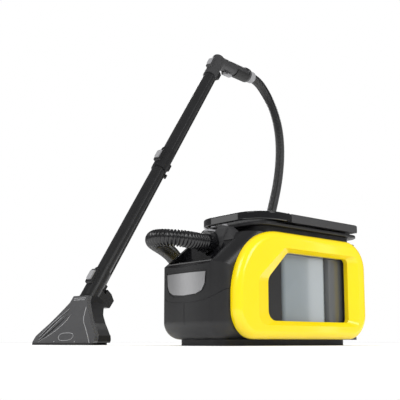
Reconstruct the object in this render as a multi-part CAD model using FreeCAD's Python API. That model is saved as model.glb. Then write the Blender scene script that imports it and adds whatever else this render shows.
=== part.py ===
import FreeCAD, Part
import math
import os
from FreeCAD import Vector as V

# Cordless spray-extraction carpet cleaner: a machine on a flat plinth, a lift-out tank
# unit with a spool-shaped lid, a corrugated hose and a two-tube wand with a floor nozzle.
# Millimetres. +Z is up, -Y is the front (hose end), +X the right-hand side panel.
# The origin is on the floor under the middle of the machine.

# ---- driving dimensions -------------------------------------------------------------
BODY_HALF = 92.0          # half width of the dark body between the side panels
PANEL_OUT = 112.0         # half width over the side panels
NOSE_Y = -220.0           # foremost point of the bowed front
NOSE_R = 333.0            # radius of the bow
NOSE_CORNER = 35.0        # radius of the front corners
SKIRT_R = 34.0            # rounding of the lower edge of the front housing
REAR_Y = 214.0
BODY_TOP = 222.0
WALL = 3.0
FIT = 0.4                 # gap between pieces that move past each other

PANEL_Y0, PANEL_Y1 = -185.0, 211.0
PANEL_Z0, PANEL_Z1 = 12.5, 224.0
WINDOW_Y0, WINDOW_Y1 = -94.0, 155.0
WINDOW_Z0, WINDOW_Z1 = 48.0, 184.0
BEVEL = 10.0              # depth of the sloped frame round the window

BAY_Y0, BAY_Y1 = -46.0, 178.0      # tank bay between the front and rear housings
TANK_HALF = 84.0
TANK_Y0, TANK_Y1 = -32.0, 174.5
TANK_SPLIT_Y = 102.5      # fresh water in front of this plane, dirty water behind it

LID_HALF = 100.0
LID_Y0, LID_Y1 = -116.0, 216.0
LID_Z = 265.0
PLATE_Z0 = 247.5
BAIL_PIVOT_Y, BAIL_PIVOT_Z = -30.0, 256.2
FLOAT_Y = 139.0

HOSE_R = 17.0
PLUG_R = 22.0
PLUG_Z = 204.0
PLUG_Y0, PLUG_Y1 = -166.0, -139.0

WAND_FOOT = V(-469.0, -211.0, 0.0)
WAND_LEAN = 36.1          # degrees from upright
WAND_HEADING = 105.3      # compass angle of the lean, degrees from +X
TUBE_R = 19.0
TUBE_BORE = 17.2
DUCT_Y = 26.0             # the water line runs this far behind the tube axis
NOZZLE_TOP_S = 150.0      # distances along the wand axis from the floor
COUPLER_LOW = (166.0, 232.0)
COUPLER_MID = (632.0, 714.0)
ELBOW_S = (1104.0, 1204.0)
GRIP_START = (-4.0, 1186.0)
GRIP_END = (150.0, 1322.0)
CUFF_END = (176.0, 1345.0)

os.makedirs("parts", exist_ok=True)


# ---- helpers ------------------------------------------------------------------------
def save(name, *shapes):
    """Write one node; several separate solids share it as a compound."""
    solids = [s for shape in shapes for s in shape.Solids]
    for solid in solids:
        if not solid.isValid():
            raise ValueError(name + " has an invalid solid")
    out = solids[0] if len(solids) == 1 else Part.makeCompound(solids)
    out.exportStep("parts/%s.step" % name)


def box(x, y, z):
    """Box from three (low, high) pairs."""
    return Part.makeBox(x[1] - x[0], y[1] - y[0], z[1] - z[0], V(x[0], y[0], z[0]))


def mirror_pair(shape):
    return [shape, shape.mirror(V(0, 0, 0), V(1, 0, 0))]


def cyl(start, end, radius):
    axis = end.sub(start)
    return Part.makeCylinder(radius, axis.Length, start, axis)


def pipe(start, end, outer, inner):
    """Tube open at both ends."""
    return cyl(start, end, outer).cut(cyl(start, end, inner))


def side_prism(points, x0, x1):
    """Closed outline of (y, z) points pushed across from x0 to x1."""
    loop = [V(x0, y, z) for y, z in points]
    face = Part.Face(Part.makePolygon(loop + loop[:1]))
    return face.extrude(V(x1 - x0, 0, 0))


def front_prism(points, y0, y1):
    """Closed outline of (x, z) points pushed back from y0 to y1."""
    loop = [V(x, y0, z) for x, z in points]
    face = Part.Face(Part.makePolygon(loop + loop[:1]))
    return face.extrude(V(0, y1 - y0, 0))


def rounded_plan(x, y, z, radius):
    """Upright block with its four upright edges rounded."""
    block = box(x, y, z)
    upright = [e for e in block.Edges if abs(e.tangentAt(e.FirstParameter).z) > 0.99]
    return block.makeFillet(radius, upright)


def soften(shape, radius, wanted):
    """Fillet the edges whose middle point passes the test."""
    edges = []
    for edge in shape.Edges:
        middle = edge.valueAt(0.5 * (edge.FirstParameter + edge.LastParameter))
        if wanted(middle, edge):
            edges.append(edge)
    return shape.makeFillet(radius, edges)


def body_plan(inset, z0, z1):
    """Plan outline of the dark body: bowed front between round corners, straight sides."""
    half = BODY_HALF - inset
    bow, front, rear = NOSE_R - inset, NOSE_CORNER - inset, 30.0 - inset
    across = BODY_HALF - NOSE_CORNER
    reach = math.sqrt((NOSE_R - NOSE_CORNER) ** 2 - across ** 2)
    bow_y = NOSE_Y + NOSE_R
    corner_y = bow_y - reach
    back = REAR_Y - inset
    tip = V(across / (NOSE_R - NOSE_CORNER), -reach / (NOSE_R - NOSE_CORNER), 0)
    meet = V(0, bow_y, z0) + tip * bow
    mid = V(across, corner_y, z0) + (tip + V(1, 0, 0)).normalize() * front
    diag = rear * math.sqrt(0.5)

    def flip(p):
        return V(-p.x, p.y, p.z)

    side_front, side_back = V(half, corner_y, z0), V(half, back - rear, z0)
    back_mid = V(half - rear + diag, back - rear + diag, z0)
    back_end = V(half - rear, back, z0)
    edges = [
        Part.Arc(flip(meet), V(0, bow_y - bow, z0), meet).toShape(),
        Part.Arc(meet, mid, side_front).toShape(),
        Part.LineSegment(side_front, side_back).toShape(),
        Part.Arc(side_back, back_mid, back_end).toShape(),
        Part.LineSegment(back_end, flip(back_end)).toShape(),
        Part.Arc(flip(back_end), flip(back_mid), flip(side_back)).toShape(),
        Part.LineSegment(flip(side_back), flip(side_front)).toShape(),
        Part.Arc(flip(side_front), flip(mid), flip(meet)).toShape(),
    ]
    return Part.Face(Part.Wire(edges)).extrude(V(0, 0, z1 - z0))


def front_body(inset, y_end):
    """Body volume in front of a plane, with its lower edge rounded."""
    floor = 12.0 + inset
    part = body_plan(inset, floor, BODY_TOP - inset).common(box((-120, 120), (-240, y_end), (0, 300)))
    return soften(part, SKIRT_R - inset, lambda p, e: abs(p.z - floor) < 0.01 and p.y < y_end - 0.01)


def sweep_outline(x, y, z, front_top, corners, x_plane):
    """Side-panel outline: a long sweep at the top front and three round corners."""
    y0, y1 = y
    z0, z1 = z
    drop, run = front_top
    low_front, low_rear, top_rear = corners
    curve = Part.BezierCurve()
    curve.setPoles([V(x, y0, z1 - drop), V(x, y0, z1 - 0.574 * drop),
                    V(x, y0 + 0.30 * run, z1), V(x, y0 + run, z1)])

    def corner(cy, cz, radius, start):
        pts = [V(x, cy + radius * math.cos(math.radians(start + a)),
                 cz + radius * math.sin(math.radians(start + a))) for a in (0, -45, -90)]
        return Part.Arc(*pts).toShape()

    edges = [
        curve.toShape(),
        Part.LineSegment(V(x, y0 + run, z1), V(x, y1 - top_rear, z1)).toShape(),
        corner(y1 - top_rear, z1 - top_rear, top_rear, 90),
        Part.LineSegment(V(x, y1, z1 - top_rear), V(x, y1, z0 + low_rear)).toShape(),
        corner(y1 - low_rear, z0 + low_rear, low_rear, 0),
        Part.LineSegment(V(x, y1 - low_rear, z0), V(x, y0 + low_front, z0)).toShape(),
        corner(y0 + low_front, z0 + low_front, low_front, -90),
        Part.LineSegment(V(x, y0, z0 + low_front), V(x, y0, z1 - drop)).toShape(),
    ]
    return Part.Face(Part.Wire(edges)).extrude(V(x_plane - x, 0, 0))


# ---- plinth, housings, side frames and panels ---------------------------------------
FOOT_SPOTS = [(sx * 46, sy) for sx in (-1, 1) for sy in (-158, 170)]
FOOT_R = 12.0


def base_tray():
    tray = rounded_plan((-64, 64), (-184, 196), (0, 12), 20.0)
    for x, y in FOOT_SPOTS:
        tray = tray.cut(cyl(V(x, y, -1), V(x, y, 4), FOOT_R))
    return tray


RAMP = [(-230, 156.5), (-216, 156.5), (-202, 164), (-128, 222)]


def ramp_cutter(lift=0.0):
    """Everything above the slanted front of the housings."""
    points = [(y, z + lift) for y, z in RAMP]
    return side_prism(points + [(-128, 300), (-230, 300)], -150, 150)


BASIN_HALF = 66.0


def basin_block(inset):
    """Space scooped out of the slanted front, smaller by the inset all round."""
    shift = [(-209 + inset, 300), (-209 + inset, 142 + inset), (-190, 134 + inset),
             (-176 - 0.9 * inset, 140 + inset), (-146 - inset, 205), (-142 - inset, 300)]
    block = side_prism(shift, -BASIN_HALF + inset, BASIN_HALF - inset)
    return block


SHOULDER_R = 26.0


def shoulder_arch(drop, half):
    """Endless block under the slanted plane, its long upper edges rounded."""
    (y0, z0), (y1, z1) = RAMP[2], RAMP[3]
    slope = math.degrees(math.atan2(z1 - z0, y1 - y0))
    block = box((-half, half), (-300, 500), (-500, -drop))
    block = soften(block, SHOULDER_R, lambda p, e: abs(p.z + drop) < 0.01 and abs(abs(p.x) - half) < 0.01)
    block.rotate(V(0, 0, 0), V(1, 0, 0), slope)
    block.translate(V(0, y0, z0))
    return block


SMILE = [(0, 81.3), (30, 82.2), (60, 87.0), (78, 94.5), (93, 107.5)]
BADGE = [(-57, 138.5), (57, 138.5), (55, 116), (48, 104), (34, 98), (0, 95.5),
         (-34, 98), (-48, 104), (-55, 116)]
BADGE_GAP = [(-61, 142.5), (61, 142.5), (59, 114), (51, 100.5), (36, 93.8), (0, 91.2),
             (-36, 93.8), (-51, 100.5), (-59, 114)]


def front_seams():
    """Shallow parting lines in the front: a smile, a centre line and the badge's gap."""
    skin = body_plan(-1.0, 13.0, 160.0).cut(body_plan(1.0, 12.0, 170.0))
    low = [(x, z) for x, z in SMILE] + [(x, z + 0.9) for x, z in reversed(SMILE)]
    bands = []
    for side in (-1, 1):
        bands.append(front_prism([(side * x, z) for x, z in low], -240, -165))
    bands.append(box((-0.45, 0.45), (-240, -165), (13, 82)))
    ring = front_prism(BADGE_GAP, -240, -165).cut(front_prism(BADGE, -241, -164))
    bands.append(ring)
    return [skin.common(band) for band in bands]


def front_housing():
    solid = front_body(0.0, BAY_Y0).cut(ramp_cutter())
    solid = solid.common(shoulder_arch(0.0, BODY_HALF))
    inside = front_body(WALL, BAY_Y0 - WALL)
    inside = inside.common(shoulder_arch(4.0, BODY_HALF - WALL)).cut(ramp_cutter(-5.0))
    inside = inside.cut(basin_block(-WALL))
    solid = solid.cut(inside).cut(basin_block(0.0))
    solid = solid.cut(box((-36, 36), (-151, -96), (190, 300))).cut(plug_clearance())
    for x, y in MOTOR_SCREWS:
        solid = solid.cut(cyl(V(x, y, 11), V(x, y, 16), 2.2))
    return solid.cut(front_seams())


def basin_liner():
    inside = basin_block(0.3).common(box((-90, 90), (-230, -120), (100, 300)))
    liner = inside.cut(basin_block(2.8)).cut(ramp_cutter())
    return liner.cut(box((-36, 36), (-160, -96), (189.5, 300))).cut(plug_clearance())


def plug_clearance():
    """Round way through the housing and its liner for the hose plug."""
    return cyl(V(0, -175, PLUG_Z), V(0, -96, PLUG_Z), PLUG_R + FIT)


def rear_housing():
    solid = body_plan(0.0, 12.0, BODY_TOP).common(box((-120, 120), (BAY_Y1, 230), (0, 300)))
    inside = body_plan(WALL, 15.0, BODY_TOP - WALL)
    inside = inside.common(box((-120, 120), (BAY_Y1 + WALL, 230), (0, 400)))
    solid = solid.cut(inside)
    solid = solid.cut(box((-44, 44), (206, 230), (88, 152)))
    solid = solid.cut(box((-11, 11), (205, 230), (158, 172)))
    for z in range(176, 206, 7):
        solid = solid.cut(box((-40, 40), (205, 230), (z, z + 3)))
    return solid


def bay_rails():
    """Two top rails between the housings that guide the tank unit."""
    plate = box((-BODY_HALF, BODY_HALF), (BAY_Y0 + 0.05, BAY_Y1 - 0.05), (214, BODY_TOP))
    return plate.cut(box((-88, 88), (BAY_Y0 - 1, BAY_Y1 + 1), (200, 230)))


def bay_floor():
    floor = box((-88, 88), (BAY_Y0 + 0.05, BAY_Y1 - 0.05), (12, 30))
    return floor.cut(box((-84, 84), (BAY_Y0 + 4, BAY_Y1 - 4), (16, 31)))


WINDOW = [(WINDOW_Y0, WINDOW_Z0), (WINDOW_Y1, WINDOW_Z0), (WINDOW_Y1, WINDOW_Z1),
          (-37, WINDOW_Z1), (WINDOW_Y0, 130)]
WINDOW_ROUND = [20.0, 9.0, 9.0, 16.0, 24.0]
SLOPE_EDGE = [(-130, 39), (180, 39), (180, 191), (-55, 191), (-130, 129)]
SLOPE_ROUND = [22.0, 16.0, 16.0, 14.0, 24.0]


def rounded_loop(points, radii, x):
    """Closed outline of (y, z) points at a plane of constant x, each corner rounded."""
    corners = []
    count = len(points)
    for i, radius in enumerate(radii):
        here = V(x, *points[i])
        back = (V(x, *points[i - 1]) - here).normalize()
        ahead = (V(x, *points[(i + 1) % count]) - here).normalize()
        half = 0.5 * back.getAngle(ahead)
        run = radius / math.tan(half)
        inward = (back + ahead).normalize()
        middle = here + inward * (radius / math.sin(half) - radius)
        corners.append((here + back * run, middle, here + ahead * run))
    edges = []
    for i, (start, middle, end) in enumerate(corners):
        edges.append(Part.Arc(start, middle, end).toShape())
        edges.append(Part.LineSegment(end, corners[(i + 1) % count][0]).toShape())
    return Part.Wire(edges)


def window_hole(x0, x1):
    """Prism of the window opening."""
    return Part.Face(rounded_loop(WINDOW, WINDOW_ROUND, x0)).extrude(V(x1 - x0, 0, 0))


def side_frame():
    """Inner carrier of a side panel, with the window opening through it."""
    plate = sweep_outline(88.0, (BAY_Y0 + 0.05, BAY_Y1 - 0.05), (30.2, 213.8), (2.0, 2.0),
                         (2.0, 2.0, 2.0), BODY_HALF)
    return plate.cut(window_hole(80.0, 100.0))


def side_panel():
    y, z = (PANEL_Y0, PANEL_Y1), (PANEL_Z0, PANEL_Z1)
    plate = sweep_outline(BODY_HALF, y, z, (129.0, 123.0), (55.0, 55.0, 60.0), PANEL_OUT)
    plate = soften(plate, 15.0, lambda p, e: abs(p.x - PANEL_OUT) < 0.01)
    plate = plate.cut(window_hole(80.0, 120.0))
    inner = rounded_loop(WINDOW, WINDOW_ROUND, PANEL_OUT - BEVEL)
    outer = rounded_loop(SLOPE_EDGE, SLOPE_ROUND, PANEL_OUT + 0.01)
    bevel = Part.makeLoft([inner, outer], True, True)
    return plate.cut(bevel)


def front_badge():
    """Plain plate on the bowed front, with a big lower right and left corner."""
    skin = body_plan(-1.2, 95.0, 140.0).cut(body_plan(0.0, 90.0, 150.0))
    return skin.common(front_prism(BADGE, -240, -195))


# ---- hose socket, plug, buttons -----------------------------------------------------
HUMP_TOP = 239.0
HUMP = [(20, HUMP_TOP), (34, 235.5), (46, 226), (62, 206), (62, 190.5)]


def socket_housing():
    """Low hump over the hose socket, with skirts that run down onto the slope."""
    section = front_prism(HUMP + [(-x, z) for x, z in reversed(HUMP)], -155, -90)
    core = side_prism([(-147, 190.5), (-150, 214), (-144, 230), (-136, HUMP_TOP), (-119.5, HUMP_TOP),
                       (-119.5, 226), (-96.5, 226), (-96.5, 190.5)], -35.5, 35.5)
    skirt = side_prism([(-150, 205), (-146, 214), (-138, 230), (-130, HUMP_TOP), (-119.5, HUMP_TOP),
                        (-119.5, 205)], -62, 62)
    above = ramp_cutter().fuse(box((-150, 150), (-128, 0), (BODY_TOP, 300)))
    hump = core.fuse(skirt.common(above)).removeSplitter().common(section)
    hump = hump.cut(box((-31, 31), (-131, -99), (193, 223)))
    for x, y in BUTTON_SPOTS:
        hump = hump.cut(cyl(V(x, y, BUTTON_TOP - 14), V(x, y, 270), BUTTON_R + FIT))
    hump = hump.cut(cyl(V(0, -160, PLUG_Z), V(0, -100, PLUG_Z), PLUG_R + 0.05))
    return hump.cut(box((-7.4, 7.4), (-160, -133), (223, 236)))


BUTTON_R = 6.0
BUTTON_SPOTS = [(-17, -127.5), (17, -127.5)]
BUTTON_TOP = HUMP_TOP + 2.5


def push_button(spot):
    x, y = spot
    cap = cyl(V(x, y, BUTTON_TOP - 10), V(x, y, BUTTON_TOP), BUTTON_R)
    return cap.makeChamfer(1.0, [e for e in cap.Edges if e.BoundBox.ZMin > BUTTON_TOP - 0.5])


def hose_socket():
    return pipe(V(0, -131, PLUG_Z), V(0, -101, PLUG_Z), 28.0, 18.0).common(
        box((-40, 40), (-131, -101), (193.1, 222.9)))


def hose_plug():
    plug = pipe(V(0, PLUG_Y0, PLUG_Z), V(0, PLUG_Y1, PLUG_Z), PLUG_R, 15.0)
    neck = pipe(V(0, PLUG_Y1, PLUG_Z), V(0, -103, PLUG_Z), 17.8, 15.0)
    plug = plug.fuse(neck).removeSplitter()
    return plug.cut(box((-7.4, 7.4), (PLUG_Y0 + 2.4, PLUG_Y1 + 1), (223.2, 232)))


def plug_release():
    tab = box((-6.8, 6.8), (-163, -137), (226.4, 230.4))
    return soften(tab, 1.5, lambda p, e: p.z > 230 and p.y < -140)


# ---- inside the front housing -------------------------------------------------------
MOTOR_X, MOTOR_Y = -34.0, -120.0
MOTOR_SCREWS = [(MOTOR_X, MOTOR_Y - 45), (MOTOR_X, MOTOR_Y + 45), (MOTOR_X + 45, MOTOR_Y)]


def suction_motor():
    can = cyl(V(MOTOR_X, MOTOR_Y, 21), V(MOTOR_X, MOTOR_Y, 70), 36.0)
    shaft = cyl(V(MOTOR_X, MOTOR_Y, 70), V(MOTOR_X, MOTOR_Y, 92), 4.0)
    return can.fuse(shaft)


def motor_mount():
    plate = box((MOTOR_X - 24, MOTOR_X + 51), (MOTOR_Y - 51, MOTOR_Y + 51), (15, 21))
    for x, y in MOTOR_SCREWS:
        plate = plate.cut(cyl(V(x, y, 10), V(x, y, 25), 2.2))
    return plate


def fan_wheel():
    """Closed fan wheel: hub, back plate and twelve blades."""
    hub = cyl(V(MOTOR_X, MOTOR_Y, 75), V(MOTOR_X, MOTOR_Y, 94), 8.0)
    back = cyl(V(MOTOR_X, MOTOR_Y, 75), V(MOTOR_X, MOTOR_Y, 77.5), 34.0)
    wheel = hub.fuse(back)
    for i in range(12):
        blade = box((7.5, 33), (-0.8, 0.8), (77, 90))
        blade.rotate(V(0, 0, 0), V(0, 0, 1), 30 * i)
        blade.translate(V(MOTOR_X, MOTOR_Y, 0))
        wheel = wheel.fuse(blade)
    return wheel.cut(cyl(V(MOTOR_X, MOTOR_Y, 70), V(MOTOR_X, MOTOR_Y, 95), 4.05)).removeSplitter()


def fan_cover():
    """Cup over the motor and fan wheel with an air outlet at the side."""
    cup = cyl(V(MOTOR_X, MOTOR_Y, 21), V(MOTOR_X, MOTOR_Y, 102), 40.0)
    cup = cup.cut(cyl(V(MOTOR_X, MOTOR_Y, 20), V(MOTOR_X, MOTOR_Y, 98), 36.5))
    cup = cup.cut(cyl(V(MOTOR_X, MOTOR_Y, 95), V(MOTOR_X, MOTOR_Y, 110), 14.0))
    return cup.cut(box((MOTOR_X - 12, MOTOR_X + 12), (MOTOR_Y - 45, MOTOR_Y - 30), (74, 92)))


def water_pump():
    body = box((20, 58), (-120, -62), (15, 62))
    head = cyl(V(39, -120, 40), V(39, -138, 40), 19.0)
    return body.fuse(head).removeSplitter()


def pump_lines():
    """Suction and pressure line of the pump, standing on its head."""
    lines = []
    for x, top in ((30, 150), (48, 128)):
        lines.append(cyl(V(x, -90, 62), V(x, -90, top), 4.0))
    return lines


def control_board():
    board = box((-60, 60), (183, 185), (26, 82))
    for x, z in ((-40, 60), (-10, 64), (30, 50)):
        board = board.fuse(box((x - 9, x + 9), (185, 195), (z - 8, z + 8)))
    return board.removeSplitter()


# ---- battery ------------------------------------------------------------------------
def battery_pack():
    block = box((-42, 42), (187, 212.5), (90, 150))
    return soften(block, 5.0, lambda p, e: p.y > 212)


def battery_cradle():
    cradle = box((-48, 48), (181.5, 206), (84, 88.5))
    back = box((-48, 48), (181.5, 184), (88.5, 150))
    return cradle.fuse(back).removeSplitter()


def battery_contacts():
    return [box((x - 2, x + 2), (184, 186.4), (110, 130)) for x in (-24, -8, 8, 24)]


def battery_release():
    button = box((-10.5, 10.5), (208, 215.5), (158.5, 171.5))
    return soften(button, 2.0, lambda p, e: p.y > 215)


# ---- tank unit ----------------------------------------------------------------------
def tank(y0, y1):
    shell = rounded_plan((-TANK_HALF, TANK_HALF), (y0, y1), (34, 206), 9.0)
    hollow = rounded_plan((3 - TANK_HALF, TANK_HALF - 3), (y0 + 3, y1 - 3), (37, 220), 6.0)
    return shell.cut(hollow)


def tank_seal():
    seals = []
    for y0, y1 in ((TANK_Y0, TANK_SPLIT_Y - 0.5), (TANK_SPLIT_Y + 0.5, TANK_Y1)):
        outer = rounded_plan((-TANK_HALF, TANK_HALF), (y0, y1), (206, 209), 9.0)
        inner = rounded_plan((4 - TANK_HALF, TANK_HALF - 4), (y0 + 4, y1 - 4), (205, 210), 5.0)
        seals.append(outer.cut(inner))
    return seals


def lid_flange():
    """Lower flange of the lid, its skirt and neck, and the cover over both tanks."""
    cover = rounded_plan((-86, 86), (TANK_Y0, TANK_Y1), (209, 226), 9.0)
    skirt = rounded_plan((-84, 84), (-92, 198), (222.4, 236), 26.0)
    flange = rounded_plan((-99, 99), (-108, 214), (236, 242.5), 34.0)
    flange = soften(flange, 2.0, lambda p, e: abs(p.z - 242.5) < 0.01 or abs(p.z - 236) < 0.01)
    neck = rounded_plan((-78, 78), (-18, 193), (242.5, 247.5), 20.0)
    lid = cover.fuse([skirt, flange, neck]).removeSplitter()
    for y, radius in ((20, 19), (FLOAT_Y, 16)):
        lid = lid.cut(cyl(V(0, y, 200), V(0, y, 260), radius))
    return lid


def lid_plate():
    """Upper plate of the lid behind the bail, with pivot lugs and two wells."""
    y_front = BAIL_PIVOT_Y + 9.8
    plate = rounded_plan((-LID_HALF, LID_HALF), (y_front - 60, LID_Y1), (PLATE_Z0, LID_Z), 28.0)
    plate = plate.cut(box((-120, 120), (y_front - 80, y_front), (240, 280)))
    plate = soften(plate, 2.5, lambda p, e: abs(p.z - LID_Z) < 0.01)
    notch = side_prism([(230, 246), (230, 257.5), (212, 256.5), (195, 246)], -140, 140)
    plate = plate.cut(notch)
    tongue = box((-82, 82), (BAIL_PIVOT_Y - 11, y_front + 2), (PLATE_Z0, 262))
    plate = plate.fuse(tongue).removeSplitter()
    bore = cyl(V(-84, BAIL_PIVOT_Y, BAIL_PIVOT_Z), V(84, BAIL_PIVOT_Y, BAIL_PIVOT_Z), 3.05)
    plate = plate.cut(bore)
    plate = plate.cut(rounded_plan((-26, 26), (-9, 49), (255.0, 270), 10.0))
    plate = plate.cut(cyl(V(0, 20, 240), V(0, 20, 270), 19.0))
    return plate.cut(cyl(V(0, FLOAT_Y, 240), V(0, FLOAT_Y, 261), 16.0))


def bail_pins():
    """Two pivot pins, held in the bail and turning in the lid plate."""
    pins = []
    for side in (-1, 1):
        inner = V(side * 60, BAIL_PIVOT_Y, BAIL_PIVOT_Z)
        outer = V(side * 96, BAIL_PIVOT_Y, BAIL_PIVOT_Z)
        pins.append(cyl(inner, outer, 3.0))
    return pins


def carry_handle():
    """U-shaped bail that lies flush in front of the lid plate."""
    low, high = PLATE_Z0, LID_Z
    outer = rounded_plan((-LID_HALF, LID_HALF), (LID_Y0, 40), (low, high), 62.0)
    inner = rounded_plan((-83, 83), (LID_Y0 + 24, 60), (low - 5, high + 5), 44.0)
    bail = outer.cut(inner).cut(box((-120, 120), (BAIL_PIVOT_Y, 120), (230, 280)))
    bail = soften(bail, 3.0, lambda p, e: p.y < BAIL_PIVOT_Y - 1 and (
        abs(p.z - low) < 0.01 or abs(p.z - high) < 0.01))
    for side in (-1, 1):
        x = (83 * side, 100 * side)
        eye = cyl(V(min(x), BAIL_PIVOT_Y, BAIL_PIVOT_Z), V(max(x), BAIL_PIVOT_Y, BAIL_PIVOT_Z), 8.7)
        bail = bail.fuse(eye)
        pin = cyl(V(60 * side, BAIL_PIVOT_Y, BAIL_PIVOT_Z), V(96 * side, BAIL_PIVOT_Y, BAIL_PIVOT_Z), 3.0)
        bail = bail.cut(pin)
    return bail.removeSplitter()


def fill_cap():
    """Round cap of the fresh tank in its well, with a finger lip and a hinge barrel."""
    cap = cyl(V(0, 20, 247.9), V(0, 20, 257.0), 17.0)
    stem = cyl(V(0, 20, 243), V(0, 20, 247.9), 15.0)
    rim = rounded_plan((-21, 21), (1, 44.5), (257.0, 261.5), 8.0)
    barrel = cyl(V(-14, 0, 259), V(14, 0, 259), 2.5)
    return cap.fuse([stem, rim, barrel]).removeSplitter()


def float_cage():
    cage = pipe(V(0, FLOAT_Y, 150), V(0, FLOAT_Y, 209), 15.5, 12.5)
    for i in range(4):
        slot = box((-20, 20), (-3, 3), (158, 200))
        slot.rotate(V(0, 0, 0), V(0, 0, 1), 45 * i)
        slot.translate(V(0, FLOAT_Y, 0))
        cage = cage.cut(slot)
    stop = cyl(V(0, FLOAT_Y, 146), V(0, FLOAT_Y, 150), 15.5)
    return cage.fuse(stop).removeSplitter()


def float_ball():
    return cyl(V(0, FLOAT_Y, 150.4), V(0, FLOAT_Y, 172), 11.6)


# ---- wand: built upright on its own axis, then leaned over --------------------------
def stand(shape):
    """Put a piece drawn along the wand axis (x across, y behind, z up it) in place."""
    lean, head = math.radians(WAND_LEAN), math.radians(WAND_HEADING)
    up = V(math.sin(lean) * math.cos(head), math.sin(lean) * math.sin(head), math.cos(lean))
    across = V(math.sin(head), -math.cos(head), 0)
    behind = up.cross(across)
    place = FreeCAD.Matrix(across.x, behind.x, up.x, WAND_FOOT.x,
                           across.y, behind.y, up.y, WAND_FOOT.y,
                           across.z, behind.z, up.z, WAND_FOOT.z, 0, 0, 0, 1)
    return shape.transformed(place)


def heel(shape):
    """Put a nozzle piece drawn level (x along the lip, y back, z up) in place."""
    turned = shape.copy()
    turned.rotate(V(0, 0, 0), V(0, 0, 1), WAND_HEADING - 90.0)
    turned.translate(WAND_FOOT)
    return turned


FAN = [(101, 0), (102, 9), (99, 22), (85, 37), (70, 52), (56, 69), (42, 87), (29, 105), (25, 122)]
FRONT_LOW, FRONT_HIGH = (-8.0, 0.0), (58.0, 122.0)


def fan_block(inset, y0, y1, top=122.0):
    """Fan outline seen from the front, between two depths."""
    right = [(x - inset, z) for x, z in FAN if z < top] + [(25 - inset, top)]
    left = [(-x, z) for x, z in reversed(right)]
    return front_prism(right + left, y0, y1)


def front_slab(near, far, z0=0.0):
    """Slab parallel to the sloping front face, between two depths behind it."""
    slope = (FRONT_HIGH[0] - FRONT_LOW[0]) / FRONT_HIGH[1]
    low = FRONT_LOW[0] + slope * z0
    return side_prism([(low + near, z0), (low + far, z0), (FRONT_HIGH[0] + far, FRONT_HIGH[1]),
                       (FRONT_HIGH[0] + near, FRONT_HIGH[1])], -140, 140)


def nozzle_window():
    cover = fan_block(0.0, -60, 160).common(front_slab(0, 14, 5.0))
    channel = fan_block(5.0, -60, 160, 112.0).common(front_slab(3.5, 16, 4.0))
    return cover.cut(channel)


def nozzle_lip():
    """Rubber squeegee under the cover and the heel, one bar each, resting on the floor."""
    front = box((-99, 99), (-7.5, -3.5), (0, 5))
    back = box((-96, 96), (44, 50), (0, 5))
    return [front, back]


def nozzle_body():
    side = side_prism([(9, 5), (54, 5), (58, 12), (60, 26), (84, 74), (114, 106), (92, 122),
                       (72.2, 122)], -140, 140)
    return fan_block(0.0, -60, 160).common(side)


def nozzle_housing():
    """Dark rear half of the nozzle, fused with the socket for the lower tube."""
    socket = cyl(V(0, 0, NOZZLE_TOP_S - 6), V(0, 0, COUPLER_LOW[0]), 22.5)
    cone = Part.makeCone(29.0, 22.5, 44.0, V(0, 0, NOZZLE_TOP_S - 50))
    housing = heel(nozzle_body()).fuse([stand(socket), stand(cone)])
    housing = housing.cut(heel(front_slab(-60, 14.05)))
    bore = cyl(V(0, 0, 128), V(0, 0, COUPLER_LOW[0] + 1), TUBE_BORE)
    line = cyl(V(0, DUCT_Y, 120), V(0, DUCT_Y, 240), 4.1)
    return housing.cut(stand(bore.fuse(line))).removeSplitter()


def spray_jet():
    """Small jet block low on the back of the nozzle."""
    return heel(box((-9, 9), (57, 70), (14, 26))).cut(nozzle_housing())


def coupler(span):
    """Collar round a tube joint, with a boss for its latch button and a duct clip."""
    low, high = span
    middle = 0.5 * (low + high)
    collar = cyl(V(0, 0, low), V(0, 0, high), 22.5)
    boss = rounded_plan((-11, 11), (-28.5, 0), (middle - 24, middle + 24), 1.0)
    boss = soften(boss, 5.0, lambda p, e: p.y < -28 and abs(p.x) < 1)
    clip = box((-6.5, 6.5), (0, DUCT_Y + 6.5), (middle - 12, middle + 12))
    collar = collar.fuse([boss, clip]).removeSplitter()
    collar = collar.cut(cyl(V(0, 0, low - 1), V(0, 0, high + 1), TUBE_R + 0.05))
    collar = collar.cut(box((-7.4, 7.4), (-40, -TUBE_R - 3.4), (middle - 15.4, middle + 15.4)))
    return collar.cut(cyl(V(0, DUCT_Y, low - 1), V(0, DUCT_Y, high + 1), 4.05))


def latch_button(span):
    """Oval push button in the boss of a coupler; it travels towards the tube."""
    middle = 0.5 * (span[0] + span[1])
    block = box((-7, 7), (-33.5, -26.0), (middle - 15, middle + 15))
    return soften(block, 4.5, lambda p, e: p.y < -33 and abs(p.x) < 1)


def lower_tube():
    return pipe(V(0, 0, COUPLER_LOW[0] + 1), V(0, 0, 672.9), TUBE_R, TUBE_BORE)


def upper_tube():
    return pipe(V(0, 0, 673.1), V(0, 0, ELBOW_S[0] + 40), TUBE_R, TUBE_BORE)


def water_line():
    """Slim pressure line clipped behind both tubes."""
    line = cyl(V(0, DUCT_Y, COUPLER_LOW[0] - 14), V(0, DUCT_Y, ELBOW_S[0] + 30), 4.0)
    return line


def grip_point(along, below):
    """Point in the wand's middle plane, measured along the grip and below its axis."""
    dy, ds = GRIP_END[0] - GRIP_START[0], GRIP_END[1] - GRIP_START[1]
    length = math.hypot(dy, ds)
    uy, us = dy / length, ds / length
    return V(0, GRIP_START[0] + along * uy + below * us, GRIP_START[1] + along * us - below * uy)


GRIP_R = 22.5
GRIP_LENGTH = math.hypot(GRIP_END[0] - GRIP_START[0], GRIP_END[1] - GRIP_START[1])


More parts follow.
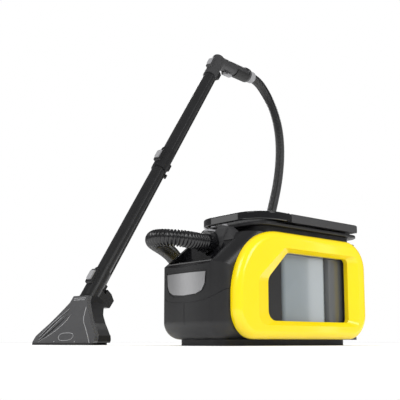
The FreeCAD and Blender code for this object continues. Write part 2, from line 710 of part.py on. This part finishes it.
def along_grip(shape):
    """Lay a piece drawn with x across, y below the axis and z along the grip in place."""
    uy = (GRIP_END[0] - GRIP_START[0]) / GRIP_LENGTH
    us = (GRIP_END[1] - GRIP_START[1]) / GRIP_LENGTH
    place = FreeCAD.Matrix(1, 0, 0, 0, 0, us, uy, GRIP_START[0], 0, -uy, us, GRIP_START[1], 0, 0, 0, 1)
    return stand(shape.transformed(place))


def elbow_handle():
    """Elbow and grip in one: a collar for the tube and a slanting hand grip."""
    collar = coupler(ELBOW_S)
    knee = Part.makeSphere(22.5, V(0, 0, ELBOW_S[1] - 14))
    start = grip_point(0, 0)
    end = grip_point(GRIP_LENGTH, 0)
    grip = cyl(start, end, GRIP_R)
    ring = cyl(grip_point(GRIP_LENGTH - 16, 0), grip_point(GRIP_LENGTH - 4, 0), 26.0)
    knee_to = cyl(V(0, 0, ELBOW_S[1] - 20), V(0, 0, ELBOW_S[1] - 14), 22.5)
    handle = collar.fuse([knee, knee_to, grip, ring]).removeSplitter()
    bore = cyl(V(0, 0, ELBOW_S[0] - 1), V(0, 0, ELBOW_S[1] - 16), 17.0)
    seat = cyl(V(0, 0, ELBOW_S[0] - 1), V(0, 0, ELBOW_S[0] + 41), TUBE_R + 0.05)
    channel = cyl(grip_point(2, 0), grip_point(GRIP_LENGTH + 1, 0), 16.5)
    handle = handle.cut(bore.fuse([seat, Part.makeSphere(17.0, V(0, 0, ELBOW_S[1] - 16)), channel]))
    middle = 0.5 * (ELBOW_S[0] + ELBOW_S[1])
    pocket = box((-7.4, 7.4), (-40, -TUBE_R - 3.4), (middle - 15.4, middle + 15.4))
    handle = stand(handle.cut([pocket, spray_valve(FIT)]))
    lugs = [along_grip(lug.cut(cyl(V(0, 0, 0), V(0, 0, 200), GRIP_R - 2))) for lug in trigger_lugs()]
    return handle.fuse(lugs).removeSplitter()


TRIGGER_T0, TRIGGER_T1 = 46.0, 92.0      # stretch of the grip that the trigger takes
TRIGGER_PIN = (TRIGGER_T0 + 5.0, 27.5)   # along the grip, below its axis


def pin_line(half, radius):
    """Cylinder on the trigger's hinge line, in the grip's own axes."""
    return cyl(V(-half, TRIGGER_PIN[1], TRIGGER_PIN[0]), V(half, TRIGGER_PIN[1], TRIGGER_PIN[0]), radius)


def trigger_lugs():
    """Two ears under the grip that carry the trigger pin."""
    lugs = []
    for side in (-1, 1):
        x = sorted((7.2 * side, 10.2 * side))
        lug = box(x, (15.0, 31.0), (TRIGGER_T0, TRIGGER_T0 + 10))
        lugs.append(lug.cut(pin_line(20, 1.5)))
    return lugs


def trigger():
    """Thumb-wide lever hinged near the elbow; its free end stands off the grip."""
    lever = box((-6.6, 6.6), (24.2, 34.0), (TRIGGER_T0 + 2, TRIGGER_T1))
    relief = [(20, TRIGGER_T0 + 8), (24.2, TRIGGER_T0 + 8), (28.6, TRIGGER_T1 + 1), (20, TRIGGER_T1 + 1)]
    lever = lever.cut(side_prism(relief, -10, 10))
    lever = soften(lever, 4.0, lambda p, e: p.y > 33.9 and abs(p.x) < 1)
    return along_grip(lever.cut(pin_line(20, 1.55)))


def grip_insert():
    """Soft pad let onto the underside of the grip's rear half."""
    pad = pipe(V(0, 0, 108), V(0, 0, GRIP_LENGTH - 17), 26.0, GRIP_R + 0.02)
    return along_grip(pad.common(box((-30, 30), (6, 40), (100, 210))))


def hose_cuff():
    start, end = grip_point(GRIP_LENGTH + 0.02, 0), V(0, CUFF_END[0], CUFF_END[1])
    return pipe(start, end, 21.0, 15.0)


def spray_valve(room=0.0):
    """Valve block beside the elbow; with room it is the pocket that the block sits in."""
    return box((-8 - room, 8 + room), (DUCT_Y - 3.2 - room, DUCT_Y + 10 + room),
               (ELBOW_S[0] + 30.1 - room, ELBOW_S[0] + 58 + room))


def nozzle_bracket():
    """Hook block behind the nozzle neck that parks the wand on the machine."""
    block = side_prism([(15, 152), (40, 158), (44, 166), (56, 160), (68, 166), (70, 192),
                        (52, 200), (33.2, 200), (33.2, 185), (15, 185)], -12, 12)
    block = block.cut(cyl(V(0, 0, 100), V(0, 0, 230), 22.55))
    return block.cut(cyl(V(0, DUCT_Y, 140), V(0, DUCT_Y, 240), 4.1))


# ---- hose ---------------------------------------------------------------------------
HOSE_ROUTE = [
    (0, -166, 204), (2, -195, 204), (-1, -223, 206), (-18, -245, 208), (-46, -253, 210),
    (-73, -242, 209), (-94, -213, 206), (-116, -177, 202), (-140, -135, 192),
    (-160, -90, 163), (-177, -45, 118), (-194, 8, 68), (-214, 72, 30), (-238, 142, 19),
    (-272, 208, 18), (-324, 262, 17.8), (-386, 306, 19), (-441, 346, 27.5),
    (-493, 396, 60), (-546, 483, 141), (-606, 597, 260), (-653, 695, 384),
    (-693, 779, 512), (-718, 835, 617), (-739, 872, 726), (-751, 880, 821),
    (-756, 860, 897), (-753, 817, 953), (-729, 738.5, 987.6), (-715.6, 690.5, 983.0),
]


def hose_path():
    """Straight runs joined by tangent arcs as large as the runs allow."""
    points = [V(*p) for p in HOSE_ROUTE]
    edges = []
    here = points[0]
    radii = []
    for before, corner, after in zip(points, points[1:], points[2:]):
        back, ahead = before.sub(corner), after.sub(corner)
        reach = 0.45 * min(back.Length, ahead.Length)
        a, b = back.normalize(), ahead.normalize()
        half_turn = 0.5 * (math.pi - a.getAngle(b))
        radius = reach / math.tan(half_turn)
        radii.append((round(math.degrees(2 * half_turn)), round(radius)))
        start, end = corner.add(V(a).multiply(reach)), corner.add(V(b).multiply(reach))
        inward = V(a).add(b).normalize()
        centre = corner.add(inward.multiply(math.hypot(radius, reach)))
        towards = corner.sub(centre).normalize()
        edges.append(Part.LineSegment(here, start).toShape())
        edges.append(Part.Arc(start, centre.add(towards.multiply(radius)), end).toShape())
        here = end
    edges.append(Part.LineSegment(here, points[-1]).toShape())
    print("hose turns and radii", radii)
    return Part.Wire(edges)


def suction_hose():
    path = hose_path()
    first = V(*HOSE_ROUTE[1]).sub(V(*HOSE_ROUTE[0]))
    ring = Part.Wire([Part.Circle(V(*HOSE_ROUTE[0]), first, HOSE_R).toShape()])
    tube = path.makePipeShell([ring], True, False)
    expected = math.pi * HOSE_R ** 2 * path.Length
    print("hose length %.0f volume ratio %.4f low %.1f" % (
        path.Length, tube.Volume / expected, tube.BoundBox.ZMin))
    return tube


def screws():
    """Pan-head screws that hold the motor mount to the tray."""
    out = []
    for x, y in MOTOR_SCREWS:
        head = cyl(V(x, y, 21), V(x, y, 24), 4.0)
        out.append(head.fuse(cyl(V(x, y, 12.1), V(x, y, 21), 2.15)).removeSplitter())
    return out


def main():
    save("base_tray", base_tray())
    save("rubber_feet", *[cyl(V(x, y, 0), V(x, y, 4), FOOT_R) for x, y in FOOT_SPOTS])
    save("front_housing", front_housing())
    save("rear_housing", rear_housing())
    save("bay_floor", bay_floor())
    save("tank_bay_rails", bay_rails())
    for side, name in zip(mirror_pair(side_frame()), ("right", "left")):
        save("side_frame_" + name, side)
    for side, name in zip(mirror_pair(side_panel()), ("right", "left")):
        save("side_panel_" + name, side)
    save("front_badge", front_badge())
    save("basin_liner", basin_liner())
    save("socket_housing", socket_housing())
    save("hose_socket", hose_socket())
    save("hose_plug", hose_plug())
    save("plug_release", plug_release())
    save("power_button", push_button(BUTTON_SPOTS[0]))
    save("spray_button", push_button(BUTTON_SPOTS[1]))
    save("suction_motor", suction_motor())
    save("motor_mount", motor_mount())
    save("fan_wheel", fan_wheel())
    save("fan_cover", fan_cover())
    save("water_pump", water_pump())
    save("pump_lines", *pump_lines())
    save("control_board", control_board())
    save("mount_screws", *screws())
    save("battery_pack", battery_pack())
    save("battery_cradle", battery_cradle())
    save("battery_contacts", *battery_contacts())
    save("battery_release", battery_release())

    save("fresh_water_tank", tank(TANK_Y0, TANK_SPLIT_Y - 0.5))
    save("dirty_water_tank", tank(TANK_SPLIT_Y + 0.5, TANK_Y1))
    save("tank_seals", *tank_seal())
    save("lid_flange", lid_flange())
    save("lid_plate", lid_plate())
    save("carry_handle", carry_handle())
    save("handle_pins", *bail_pins())
    save("fill_cap", fill_cap())
    save("float_cage", float_cage())
    save("float", float_ball())

    save("suction_hose", suction_hose())
    save("hose_cuff", stand(hose_cuff()))
    save("elbow_handle", elbow_handle())
    save("trigger_pin", along_grip(pin_line(10.2, 1.5)))
    save("grip_insert", grip_insert())
    save("trigger", trigger())
    save("spray_valve", stand(spray_valve()))
    save("upper_tube", stand(upper_tube()))
    save("lower_tube", stand(lower_tube()))
    save("water_line", stand(water_line()))
    save("middle_coupler", stand(coupler(COUPLER_MID)))
    save("lower_coupler", stand(coupler(COUPLER_LOW)))
    save("latch_handle", stand(latch_button(ELBOW_S)))
    save("latch_middle", stand(latch_button(COUPLER_MID)))
    save("latch_nozzle", stand(latch_button(COUPLER_LOW)))
    save("nozzle_housing", nozzle_housing())
    save("nozzle_bracket", stand(nozzle_bracket()))
    save("spray_jet", spray_jet())
    save("nozzle_window", heel(nozzle_window()))
    save("nozzle_lip", *[heel(bar) for bar in nozzle_lip()])


main()
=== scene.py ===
"""Portable carpet cleaner: materials, hose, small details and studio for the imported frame."""
import math

import bmesh
import bpy
from mathutils import Matrix, Vector


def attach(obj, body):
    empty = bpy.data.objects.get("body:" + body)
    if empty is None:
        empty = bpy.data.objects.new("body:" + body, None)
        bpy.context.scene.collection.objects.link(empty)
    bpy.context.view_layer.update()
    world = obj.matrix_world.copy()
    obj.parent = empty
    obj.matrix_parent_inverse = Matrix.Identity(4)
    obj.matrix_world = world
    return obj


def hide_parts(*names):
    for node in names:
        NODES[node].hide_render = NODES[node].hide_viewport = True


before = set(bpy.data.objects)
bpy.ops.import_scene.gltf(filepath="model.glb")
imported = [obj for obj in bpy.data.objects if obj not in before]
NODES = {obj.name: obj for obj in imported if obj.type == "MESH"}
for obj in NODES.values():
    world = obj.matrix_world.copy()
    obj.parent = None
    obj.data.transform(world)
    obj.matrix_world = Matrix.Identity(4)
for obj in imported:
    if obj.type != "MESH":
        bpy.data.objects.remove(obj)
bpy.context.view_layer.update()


# ---- materials ----
def new_material(name):
    """Empty node material with a Principled shader and its output."""
    mat = bpy.data.materials.new(name)
    mat.use_nodes = True
    return mat, mat.node_tree.nodes, mat.node_tree.links, mat.node_tree.nodes["Principled BSDF"]


def node(nodes, kind, **values):
    """Adds a shader node and sets its sockets by name."""
    made = nodes.new(kind)
    for key, value in values.items():
        made.inputs[key].default_value = value
    return made


def blend_colours(nodes, links, factor, low, high):
    """Mix of two colours, driven by a factor socket."""
    mix = nodes.new("ShaderNodeMix")
    mix.data_type = "RGBA"
    links.new(factor, mix.inputs[0])
    mix.inputs[6].default_value = (*low, 1.0)
    mix.inputs[7].default_value = (*high, 1.0)
    return mix.outputs[2]


def moulded(name, low, high, rough, grain, bump, coat=0.0, mottle=22.0):
    """Moulded plastic: fine grain in the surface, slow drift in colour and gloss."""
    mat, nodes, links, shader = new_material(name)
    place = nodes.new("ShaderNodeTexCoord").outputs["Object"]
    drift = node(nodes, "ShaderNodeTexNoise", Scale=mottle, Detail=5.0, Roughness=0.6)
    links.new(place, drift.inputs["Vector"])
    links.new(blend_colours(nodes, links, drift.outputs["Fac"], low, high), shader.inputs["Base Color"])
    gloss = nodes.new("ShaderNodeMapRange")
    gloss.inputs["To Min"].default_value = rough[0]
    gloss.inputs["To Max"].default_value = rough[1]
    patch = node(nodes, "ShaderNodeTexNoise", Scale=mottle * 5, Detail=6.0)
    links.new(place, patch.inputs["Vector"])
    links.new(patch.outputs["Fac"], gloss.inputs["Value"])
    links.new(gloss.outputs["Result"], shader.inputs["Roughness"])
    fine = node(nodes, "ShaderNodeTexNoise", Scale=grain, Detail=3.0)
    links.new(place, fine.inputs["Vector"])
    relief = node(nodes, "ShaderNodeBump", Strength=bump, Distance=0.0003)
    links.new(fine.outputs["Fac"], relief.inputs["Height"])
    links.new(relief.outputs["Normal"], shader.inputs["Normal"])
    shader.inputs["Coat Weight"].default_value = coat
    shader.inputs["Coat Roughness"].default_value = 0.08
    return mat


def see_through(name, tint, rough, transmission, coat=0.5):
    """Translucent moulding with faint flow marks."""
    mat, nodes, links, shader = new_material(name)
    place = nodes.new("ShaderNodeTexCoord").outputs["Object"]
    flow = node(nodes, "ShaderNodeTexNoise", Scale=14.0, Detail=4.0, Distortion=0.6)
    links.new(place, flow.inputs["Vector"])
    pale = tuple(min(1.0, c * 1.18) for c in tint)
    links.new(blend_colours(nodes, links, flow.outputs["Fac"], tint, pale), shader.inputs["Base Color"])
    relief = node(nodes, "ShaderNodeBump", Strength=0.06, Distance=0.0004)
    links.new(flow.outputs["Fac"], relief.inputs["Height"])
    links.new(relief.outputs["Normal"], shader.inputs["Normal"])
    shader.inputs["Roughness"].default_value = rough
    shader.inputs["Transmission Weight"].default_value = transmission
    shader.inputs["IOR"].default_value = 1.49
    shader.inputs["Coat Weight"].default_value = coat
    shader.inputs["Coat Roughness"].default_value = 0.05
    return mat


def metal(name, low, high, rough):
    """Drawn or turned metal with fine scratches along Z."""
    mat, nodes, links, shader = new_material(name)
    place = nodes.new("ShaderNodeTexCoord").outputs["Object"]
    stretch = nodes.new("ShaderNodeMapping")
    stretch.inputs["Scale"].default_value = (1.0, 1.0, 0.04)
    links.new(place, stretch.inputs["Vector"])
    lines = node(nodes, "ShaderNodeTexNoise", Scale=1800.0, Detail=3.0)
    links.new(stretch.outputs["Vector"], lines.inputs["Vector"])
    links.new(blend_colours(nodes, links, lines.outputs["Fac"], low, high), shader.inputs["Base Color"])
    relief = node(nodes, "ShaderNodeBump", Strength=0.1, Distance=0.0002)
    links.new(lines.outputs["Fac"], relief.inputs["Height"])
    links.new(relief.outputs["Normal"], shader.inputs["Normal"])
    shader.inputs["Metallic"].default_value = 1.0
    shader.inputs["Roughness"].default_value = rough
    return mat


MATERIALS = {
    "black": moulded("black_satin", (0.006, 0.006, 0.007), (0.011, 0.011, 0.012), (0.38, 0.5), 2600, 0.18),
    "charcoal": moulded("charcoal_satin", (0.009, 0.009, 0.010), (0.014, 0.014, 0.015), (0.3, 0.4),
                        2600, 0.14),
    "grip": moulded("grip_grey", (0.034, 0.034, 0.035), (0.046, 0.046, 0.048), (0.38, 0.5), 2400, 0.18),
    "tube": moulded("tube_black", (0.010, 0.010, 0.011), (0.016, 0.016, 0.017), (0.26, 0.36), 2600, 0.12,
                    coat=0.2),
    "gloss": moulded("gloss_black", (0.004, 0.004, 0.005), (0.008, 0.008, 0.009), (0.06, 0.12), 900, 0.02,
                     coat=0.7),
    "yellow": moulded("yellow_gloss", (0.86, 0.64, 0.0), (0.92, 0.70, 0.0), (0.22, 0.28), 2200, 0.02,
                      coat=0.35, mottle=8.0),
    "light": moulded("light_grey", (0.26, 0.26, 0.27), (0.32, 0.32, 0.33), (0.36, 0.48), 2600, 0.14),
    "rubber": moulded("rubber", (0.008, 0.008, 0.008), (0.013, 0.013, 0.013), (0.5, 0.65), 1800, 0.3),
    "hose": moulded("hose_vinyl", (0.007, 0.007, 0.008), (0.012, 0.012, 0.013), (0.2, 0.3), 1400, 0.08,
                    coat=0.3),
    "board": moulded("board_green", (0.02, 0.09, 0.04), (0.03, 0.12, 0.06), (0.4, 0.5), 1200, 0.1),
    "tank": see_through("tank_smoke", (0.24, 0.275, 0.3), 0.14, 0.12, coat=0.8),
    "tank_dark": see_through("tank_dark_smoke", (0.085, 0.09, 0.094), 0.14, 0.12, coat=0.8),
    "smoked": see_through("nozzle_smoke", (0.085, 0.085, 0.088), 0.16, 0.25, coat=0.8),
    # Lighter grey for the beads on the nozzle front: painted highlights along its ribs, lines, plate rim
    # and nubs.
    "edge": see_through("smoke_edge", (0.36, 0.36, 0.37), 0.2, 0.1),
    "silver": metal("badge_satin", (0.5, 0.5, 0.51), (0.6, 0.6, 0.61), 0.34),
    "steel": metal("brushed_steel", (0.42, 0.42, 0.43), (0.62, 0.62, 0.63), 0.32),
}
FINISH = {
    "black": """base_tray rear_housing bay_floor tank_bay_rails side_frame_right side_frame_left fan_cover
        water_pump battery_pack battery_cradle nozzle_bracket spray_jet lid_flange float_cage spray_valve
        motor_mount hose_socket""",
    "charcoal": "front_housing nozzle_housing lower_coupler middle_coupler",
    "tube": "upper_tube lower_tube",
    "grip": "elbow_handle socket_housing lid_plate",
    "gloss": "basin_liner hose_plug carry_handle",
    "yellow": "side_panel_right side_panel_left battery_release fill_cap float",
    "silver": "front_badge",
    "tank": "fresh_water_tank",
    "tank_dark": "dirty_water_tank",
    "smoked": "nozzle_window",
    "rubber": "rubber_feet suction_hose grip_insert water_line nozzle_lip tank_seals pump_lines",
    "light": """hose_cuff plug_release power_button spray_button trigger latch_handle latch_middle
        latch_nozzle fan_wheel""",
    "steel": "suction_motor mount_screws battery_contacts handle_pins trigger_pin",
    "board": "control_board",
}
for finish, names in FINISH.items():
    for name in names.split():
        NODES[name].data.materials.clear()
        NODES[name].data.materials.append(MATERIALS[finish])


# ---- hose ----
HOSE_OUTER = 0.017
HOSE_ROOT = 0.0139
RIB_PITCH = 0.0063
HOSE_ROUTE = [
    (0, -0.166, 0.204), (0.002, -0.195, 0.204), (-0.001, -0.223, 0.206), (-0.018, -0.245, 0.208),
    (-0.046, -0.253, 0.210), (-0.073, -0.242, 0.209), (-0.094, -0.213, 0.206), (-0.116, -0.177, 0.202),
    (-0.140, -0.135, 0.192), (-0.160, -0.090, 0.163), (-0.177, -0.045, 0.118), (-0.194, 0.008, 0.068),
    (-0.214, 0.072, 0.030), (-0.238, 0.142, 0.019), (-0.272, 0.208, 0.018), (-0.324, 0.262, 0.0178),
    (-0.386, 0.306, 0.019), (-0.441, 0.346, 0.0275), (-0.493, 0.396, 0.060), (-0.546, 0.483, 0.141),
    (-0.606, 0.597, 0.260), (-0.653, 0.695, 0.384), (-0.693, 0.779, 0.512), (-0.718, 0.835, 0.617),
    (-0.739, 0.872, 0.726), (-0.751, 0.880, 0.821), (-0.756, 0.860, 0.897), (-0.753, 0.817, 0.953),
    (-0.729, 0.7385, 0.9876), (-0.7156, 0.6905, 0.9830),
]


def route_line():
    """Points of the smooth NURBS line through the hose's given control points."""
    data = bpy.data.curves.new("hose_route", "CURVE")
    data.dimensions = "3D"
    data.resolution_u = 24
    spline = data.splines.new("NURBS")
    spline.points.add(len(HOSE_ROUTE) - 1)
    for point, place in zip(spline.points, HOSE_ROUTE):
        point.co = (*place, 1.0)
    spline.order_u = 3
    spline.use_endpoint_u = True
    carrier = bpy.data.objects.new("hose_route", data)
    bpy.context.scene.collection.objects.link(carrier)
    bpy.context.view_layer.update()
    mesh = bpy.data.meshes.new_from_object(carrier)
    line = [v.co.copy() for v in mesh.vertices]
    bpy.data.objects.remove(carrier)
    bpy.data.meshes.remove(mesh)
    return line


def evenly(line, step):
    """The same line, walked in equal steps."""
    total = sum((b - a).length for a, b in zip(line, line[1:]))
    count = max(2, round(total / step))
    gap = total / count
    out = [line[0].copy()]
    walked = 0.0
    for a, b in zip(line, line[1:]):
        run = (b - a).length
        while run > 0 and len(out) * gap <= walked + run + 1e-9 and len(out) < count:
            out.append(a.lerp(b, (len(out) * gap - walked) / run))
        walked += run
    out.append(line[-1].copy())
    return out, total


def swept(name, centres, radii, sides, material):
    """Tube of rings about the centres, each with its own radius."""
    bm = bmesh.new()
    side = Vector((0, 0, 1))
    rings = []
    for i, centre in enumerate(centres):
        ahead = (centres[min(i + 1, len(centres) - 1)] - centres[max(i - 1, 0)]).normalized()
        side = (side - ahead * side.dot(ahead)).normalized()
        other = ahead.cross(side)
        ring = []
        for k in range(sides):
            angle = 2 * math.pi * k / sides
            spoke = side * math.cos(angle) + other * math.sin(angle)
            ring.append(bm.verts.new(centre + spoke * radii[i]))
        rings.append(ring)
    for near, far in zip(rings, rings[1:]):
        for k in range(sides):
            bm.faces.new((near[k], near[(k + 1) % sides], far[(k + 1) % sides], far[k]))
    bm.faces.new(list(reversed(rings[0])))
    bm.faces.new(rings[-1])
    bmesh.ops.recalc_face_normals(bm, faces=bm.faces)
    for face in bm.faces:
        face.smooth = True
    data = bpy.data.meshes.new(name)
    bm.to_mesh(data)
    bm.free()
    data.materials.append(material)
    obj = bpy.data.objects.new(name, data)
    bpy.context.scene.collection.objects.link(obj)
    return obj


RIB_STEPS = 6
RIB_PROFILE = (0.0, 0.72, 1.0, 1.0, 0.72, 0.0)
centres, hose_length = evenly(route_line(), RIB_PITCH / RIB_STEPS)
radii = [HOSE_ROOT + (HOSE_OUTER - HOSE_ROOT) * RIB_PROFILE[i % RIB_STEPS] for i in range(len(centres))]
hose = swept("hose_ribbed", centres, radii, 28, MATERIALS["hose"])
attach(hose, "chassis")
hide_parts("suction_hose")


# ---- places on the wand and its nozzle ----
LEAN, HEADING = math.radians(36.1), math.radians(105.3)
WAND_FOOT = Vector((-0.469, -0.211, 0.0))
UP = Vector((math.sin(LEAN) * math.cos(HEADING), math.sin(LEAN) * math.sin(HEADING), math.cos(LEAN)))
ACROSS = Vector((math.sin(HEADING), -math.cos(HEADING), 0.0))
BEHIND = UP.cross(ACROSS)
GRIP_START, GRIP_END = Vector((-0.004, 1.186)), Vector((0.150, 1.322))
GRIP_WAY = (GRIP_END - GRIP_START).normalized()
GRIP_LENGTH = (GRIP_END - GRIP_START).length


def on_wand(x, y, s):
    """Point across, behind and along the wand, in the row frame."""
    return WAND_FOOT + ACROSS * x + BEHIND * y + UP * s


def on_grip(x, below, t):
    """Point across, below and along the grip, in the row frame."""
    y = GRIP_START.x + GRIP_WAY.x * t + GRIP_WAY.y * below
    s = GRIP_START.y + GRIP_WAY.y * t - GRIP_WAY.x * below
    return on_wand(x, y, s)


def on_fan(x, z, lift):
    """Point on the nozzle's sloping front, raised along its normal; x and z in mm."""
    slope = Vector((0.0, -122.0, 66.0)).normalized()
    level = Vector((x, -8.0 + 66.0 * z / 122.0, z)) + slope * lift
    turn = Matrix.Rotation(HEADING - math.radians(90), 3, "Z")
    return WAND_FOOT + turn @ (level * 0.001)


# ---- small details ----
def cord_line(name, points, radius, material, body="chassis", closed=False, widths=None):
    """Smooth round bead through the given points."""
    data = bpy.data.curves.new(name, "CURVE")
    data.dimensions = "3D"
    data.bevel_depth = radius
    data.bevel_resolution = 3
    data.use_fill_caps = True
    spline = data.splines.new("NURBS")
    spline.points.add(len(points) - 1)
    for i, (point, place) in enumerate(zip(spline.points, points)):
        point.co = (*place, 1.0)
        point.radius = widths[i] if widths else 1.0
    spline.order_u = 3
    spline.use_endpoint_u = not closed
    spline.use_cyclic_u = closed
    data.materials.append(material)
    obj = bpy.data.objects.new(name, data)
    bpy.context.scene.collection.objects.link(obj)
    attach(obj, body)
    return obj


def nozzle_details():
    """Raised ribs, the rim of a blank rounded plate and two nubs on the smoked front, in a lighter grey
    that paints the highlights along them; black beads along the channels between the ribs paint the shade
    in those channels.
    """
    ribs = {
        "rib_long": [(-19.6, 90.0), (-38, 73), (-56.9, 54.7), (-72, 37), (-86, 19.5)],
        "rib_middle": [(-25, 78), (-40, 61), (-54.5, 44.4), (-69, 27), (-82, 12)],
        "rib_short": [(-7.4, 74.3), (-10.9, 61.7), (-25.7, 44.2), (-49.8, 24.2), (-81, 7)],
    }
    for name, line in ribs.items():
        places = [on_fan(x, z, 0.5) for x, z in line]
        rib = cord_line(name, places, 0.0008, MATERIALS["edge"], widths=[0.3, 1, 1, 1, 0.5])
    # Black beads along the channels between the ribs: painted shade in those channels.
    channel_shades = {
        "channel_shade_a": [(-20, 84), (-39, 66), (-57, 48.5), (-71, 31), (-83, 15.5)],
        "channel_shade_b": [(-18, 71), (-33, 54), (-50, 36), (-67, 20), (-78, 10.5)],
    }
    for name, line in channel_shades.items():
        places = [on_fan(x, z, -0.6) for x, z in line]
        channel_shade = cord_line(name, places, 0.0022, MATERIALS["black"], widths=[0.4, 1, 1, 1, 0.6])
    # The side line is a painted highlight where the window's side curves back.
    side = [(34, 92), (37, 79), (39, 66), (46, 54), (60, 40), (76, 22), (90, 5)]
    edge = cord_line("rib_side", [on_fan(x, z, 0.3) for x, z in side], 0.0009, MATERIALS["edge"])
    for i, z in enumerate((115.5, 111.0)):
        places = [on_fan(x, z, 0.4) for x in (-20 + i * 1.5, -8, 8, 20 - i * 1.5)]
        cord_line("rib_top_%d" % i, places, 0.0008, MATERIALS["edge"])
    plate = [(-20, 19.5), (-15, 27.5), (0, 29), (22, 28.5), (31, 22), (26, 12), (4, 10), (-12, 11)]
    cord_line("plate_rim", [on_fan(x, z, 0.3) for x, z in plate], 0.0007, MATERIALS["edge"],
                      closed=True)
    for i, (x, z) in enumerate(((-27, 7), (41, 7))):
        cord_line("nub_%d" % i, [on_fan(x, z, 0.2), on_fan(x + 1, z + 1.5, 1.2)], 0.0014,
                          MATERIALS["edge"])


def wand_details():
    """Web and clips between tube and water line, the web's black also painting the shadow in the gap; a
    raised line along the tubes in lighter grey, a painted highlight; a ring on the grip.
    """
    for name, low, high in (("lower", 0.235, 0.630), ("upper", 0.717, 1.102)):
        middle = 0.5 * (low + high)
        # The black web fills the gap between tube and water line, and so paints the shadow seen in that
        # gap.
        web = [on_wand(0, 0.0207, s) for s in (low, middle, high)]
        cord_line("web_shade_" + name, web, 0.0024, MATERIALS["black"])
        # A lighter grey raised line on each tube: a painted highlight.
        line = [on_wand(0.0179, -0.0063, s) for s in (low, middle, high)]
        cord_line("highlight_bead_" + name, line, 0.0008, MATERIALS["grip"])
        for i, s in enumerate((low + 0.105, high - 0.155)):
            clip = [on_wand(0.0035, 0.0215, s - 0.005), on_wand(0.0035, 0.0215, s + 0.005)]
            cord_line("clip_%s_%d" % (name, i), clip, 0.0030, MATERIALS["black"])
    for name, s in (("middle", 0.640), ("nozzle", 0.180)):
        knob = [on_wand(0.002, 0.0335, s - 0.006), on_wand(0.002, 0.0335, s + 0.006)]
        cord_line("knob_" + name, knob, 0.0042, MATERIALS["black"])
    ring = swept("grip_ring", [on_grip(0, 0, GRIP_LENGTH - t) for t in (0.0165, 0.0155, 0.0045, 0.0035)],
                 [0.0251, 0.0259, 0.0259, 0.0251], 40, MATERIALS["gloss"])
    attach(ring, "chassis")
    low, high = math.radians(24), 0.0226
    seam = [on_grip(high * math.cos(low), -high * math.sin(low), t) for t in (0.034, 0.08, 0.13, 0.180)]
    cord_line("grip_seam", seam, 0.0005, MATERIALS["black"])


nozzle_details()
wand_details()


# ---- studio ----
FLOOR_HALF = 6
BACKDROP_STRENGTH = 1.0
MIRRORED_STRENGTH = 0.16


def area(name, place, target, size, power):
    """Soft rectangular light aimed at a point; size is width and height."""
    data = bpy.data.lights.new(name, "AREA")
    data.shape = "RECTANGLE"
    data.size, data.size_y = size
    data.energy = power
    light = bpy.data.objects.new(name, data)
    light.location = place
    light.rotation_euler = (Vector(target) - Vector(place)).to_track_quat("-Z", "Y").to_euler()
    bpy.context.scene.collection.objects.link(light)


def floor():
    """Pale matt floor, well beyond the object."""
    data = bpy.data.meshes.new("floor")
    half = FLOOR_HALF
    corners = [(-half, -half, 0), (half, -half, 0), (half, half, 0), (-half, half, 0)]
    data.from_pydata(corners, [], [(0, 1, 2, 3)])
    data.materials.append(moulded("floor_pale", (0.9, 0.9, 0.9), (0.93, 0.93, 0.93), (0.85, 0.95), 60, 0.0,
                                  mottle=3))
    obj = bpy.data.objects.new("floor", data)
    bpy.context.scene.collection.objects.link(obj)


def studio_world():
    """White backdrop and sky; the sky is dimmer in reflections, so that dark plastics stay dark."""
    world = bpy.data.worlds.new("studio")
    world.use_nodes = True
    nodes, links = world.node_tree.nodes, world.node_tree.links
    sky = nodes["Background"]
    sky.inputs["Color"].default_value = (1.0, 1.0, 1.0, 1.0)
    sky.inputs["Strength"].default_value = BACKDROP_STRENGTH
    mirrored = node(nodes, "ShaderNodeBackground", Color=(1.0, 1.0, 1.0, 1.0), Strength=MIRRORED_STRENGTH)
    choose = nodes.new("ShaderNodeMixShader")
    links.new(nodes.new("ShaderNodeLightPath").outputs["Is Glossy Ray"], choose.inputs[0])
    links.new(sky.outputs[0], choose.inputs[1])
    links.new(mirrored.outputs[0], choose.inputs[2])
    links.new(choose.outputs[0], nodes["World Output"].inputs["Surface"])
    bpy.context.scene.world = world


floor()
studio_world()
bpy.context.scene.view_settings.view_transform = "Standard"
area("key", (0.6, -2.4, 2.2), (-0.1, 0.0, 0.2), (1.4, 1.4), 30)
area("side", (2.6, 0.6, 1.6), (0.0, 0.1, 0.15), (1.2, 1.2), 24)
area("back", (-2.2, 1.8, 2.2), (-0.3, 0.3, 0.4), (1.2, 1.2), 24)
area("strip", (1.3, 1.55, 0.45), (0.05, 0.0, 0.15), (0.08, 0.9), 0.6)
area("left", (-1.9, -2.0, 0.8), (-0.1, -0.1, 0.15), (0.6, 1.2), 2.6)

lens = bpy.data.cameras.new("view")
lens.sensor_width = 36.0
lens.lens = 62.0
lens.shift_y = 0.112
camera = bpy.data.objects.new("view", lens)
camera.location = (1.0178, -1.0610, 0.0081)
camera.rotation_euler = (math.radians(98), 0, math.radians(49.11))
bpy.context.scene.collection.objects.link(camera)
bpy.context.scene.camera = camera

bpy.context.view_layer.update()
